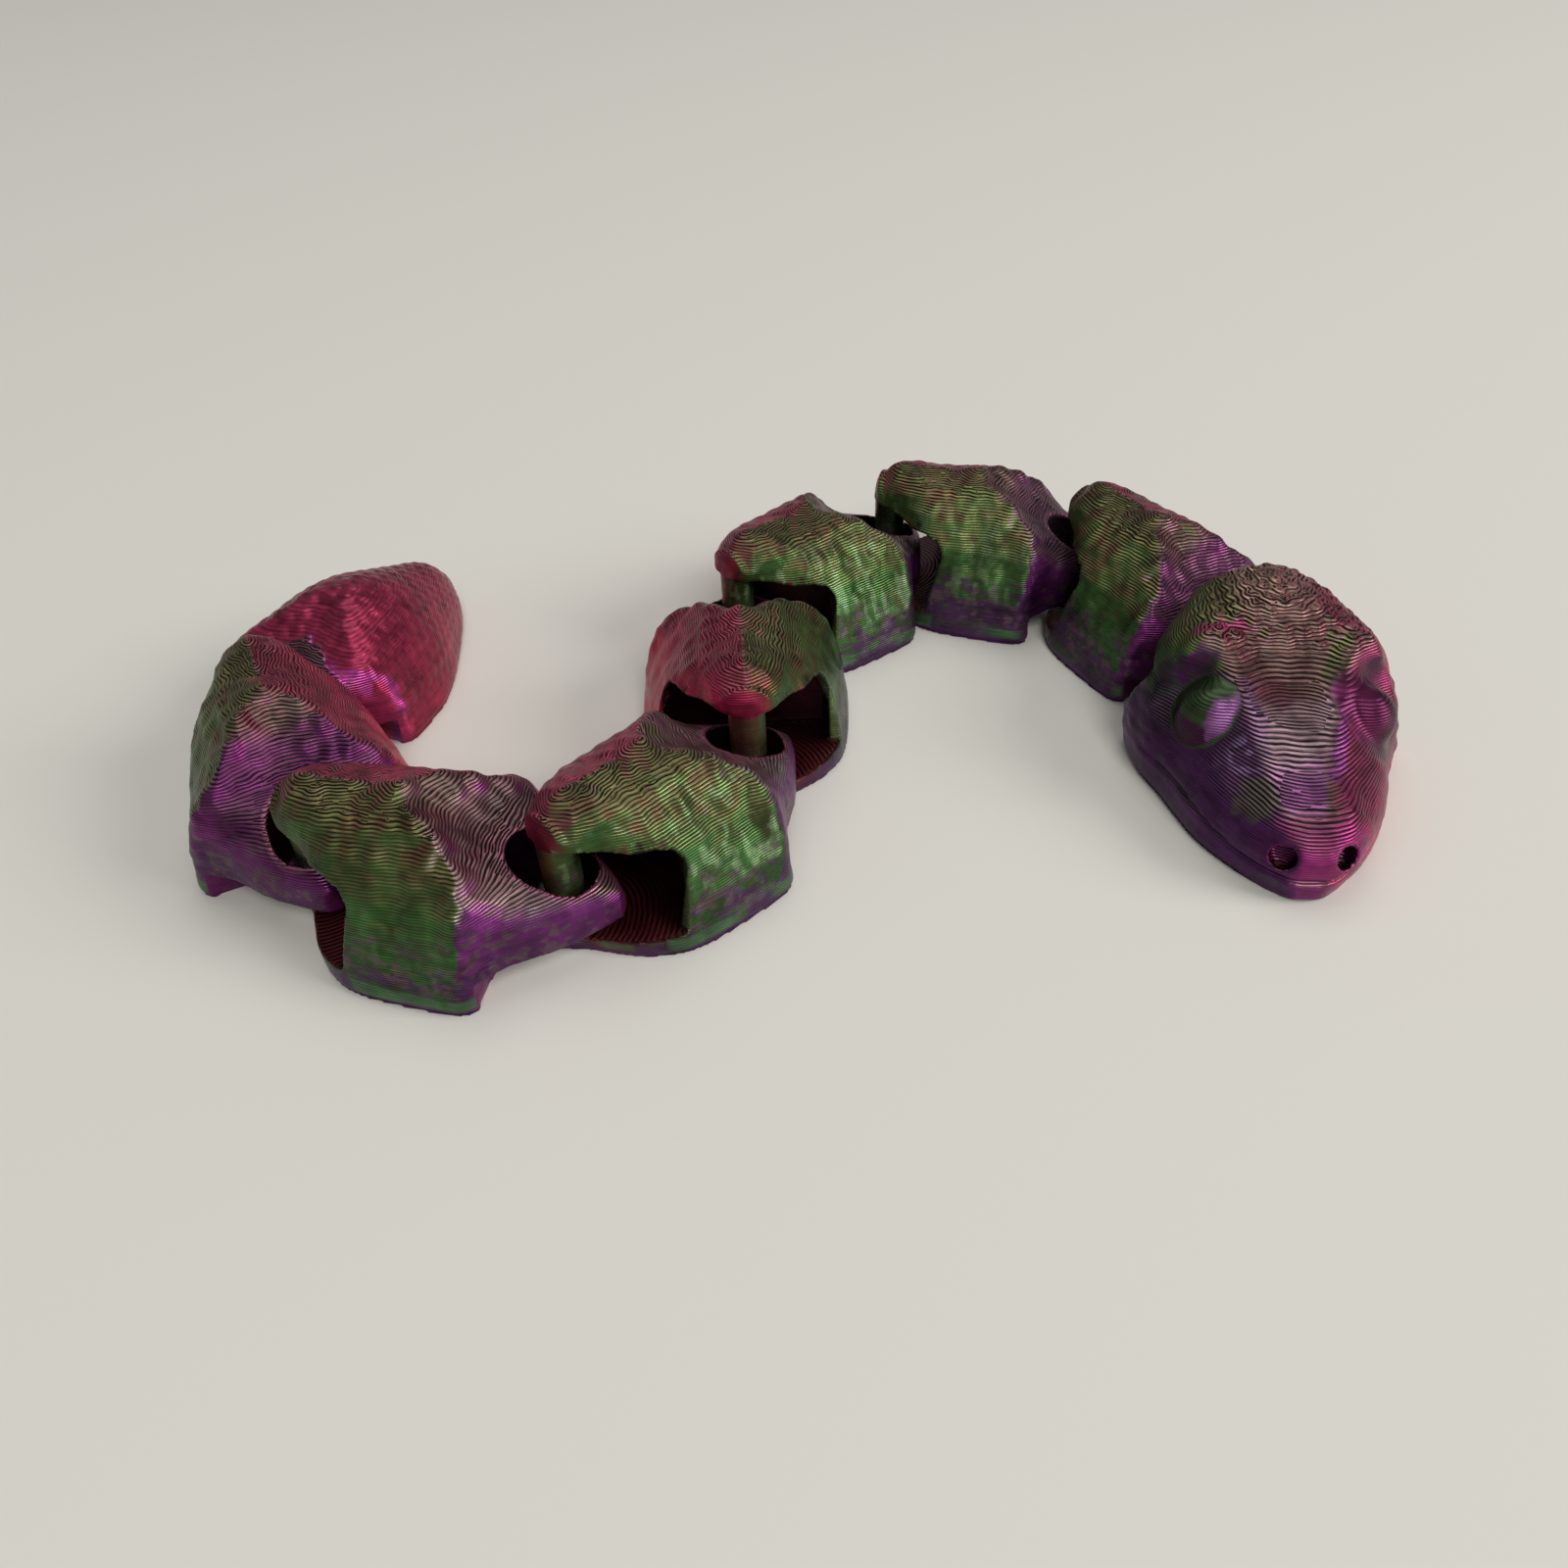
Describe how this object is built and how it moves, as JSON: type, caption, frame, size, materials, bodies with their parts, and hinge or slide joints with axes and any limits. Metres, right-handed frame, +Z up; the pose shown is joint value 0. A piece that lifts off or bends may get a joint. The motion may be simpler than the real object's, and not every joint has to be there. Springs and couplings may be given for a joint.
{
  "type": "articulated snake toy",
  "caption": "Printed toy snake: a head, links and a tail hung on upright pins, so that the flat-bellied chain bends from side to side.",
  "frame": {"origin": "on the floor, under the belly of the middle link, link_4", "axes": "+X along the laid-out length, towards the head's side; +Y away from the picture's viewer; +Z up"},
  "size_m": [0.1036, 0.063, 0.0149],
  "materials": {
    "silk_filament": "silky printed plastic in 0.2 mm layers, spun from three colours, so that it looks green from a piece's right, magenta from its left and purple from its front"
  },
  "bodies": {
    "head": {"head": "silk_filament"},
    "link_1": {"link_1": "silk_filament"},
    "link_2": {"link_2": "silk_filament"},
    "link_3": {"link_3": "silk_filament"},
    "link_4": {"link_4": "silk_filament"},
    "link_5": {"link_5": "silk_filament"},
    "link_6": {"link_6": "silk_filament"},
    "link_7": {"link_7": "silk_filament"},
    "tail": {"tail": "silk_filament"}
  },
  "joints": [
    {"name": "hinge_1", "type": "hinge", "parent": "link_1", "child": "head", "pos_m": [0.04476, 0.00266, 0.0046], "axis": [0, 0, 1], "range_deg": [-9, 81]},
    {"name": "hinge_2", "type": "hinge", "parent": "link_2", "child": "link_1", "pos_m": [0.03395, 0.01996, 0.0046], "axis": [0, 0, 1], "range_deg": [-12, 100]},
    {"name": "hinge_3", "type": "hinge", "parent": "link_3", "child": "link_2", "pos_m": [0.01484, 0.02473, 0.0046], "axis": [0, 0, 1], "range_deg": [-2, 110]},
    {"name": "hinge_4", "type": "hinge", "parent": "link_4", "child": "link_3", "pos_m": [-0.0006, 0.01139, 0.0046], "axis": [0, 0, 1], "range_deg": [-4, 108]},
    {"name": "hinge_5", "type": "hinge", "parent": "link_4", "child": "link_5", "pos_m": [0.00031, -0.00899, 0.0046], "axis": [0, 0, 1], "range_deg": [-9, 103]},
    {"name": "hinge_6", "type": "hinge", "parent": "link_5", "child": "link_6", "pos_m": [-0.0134, -0.02342, 0.0046], "axis": [0, 0, 1], "range_deg": [0, 112]},
    {"name": "hinge_7", "type": "hinge", "parent": "link_6", "child": "link_7", "pos_m": [-0.0327, -0.01946, 0.0046], "axis": [0, 0, 1], "range_deg": [-2, 110]},
    {"name": "hinge_8", "type": "hinge", "parent": "link_7", "child": "tail", "pos_m": [-0.04124, -0.00116, 0.0046], "axis": [0, 0, 1], "range_deg": [-9, 103]}
  ]
}
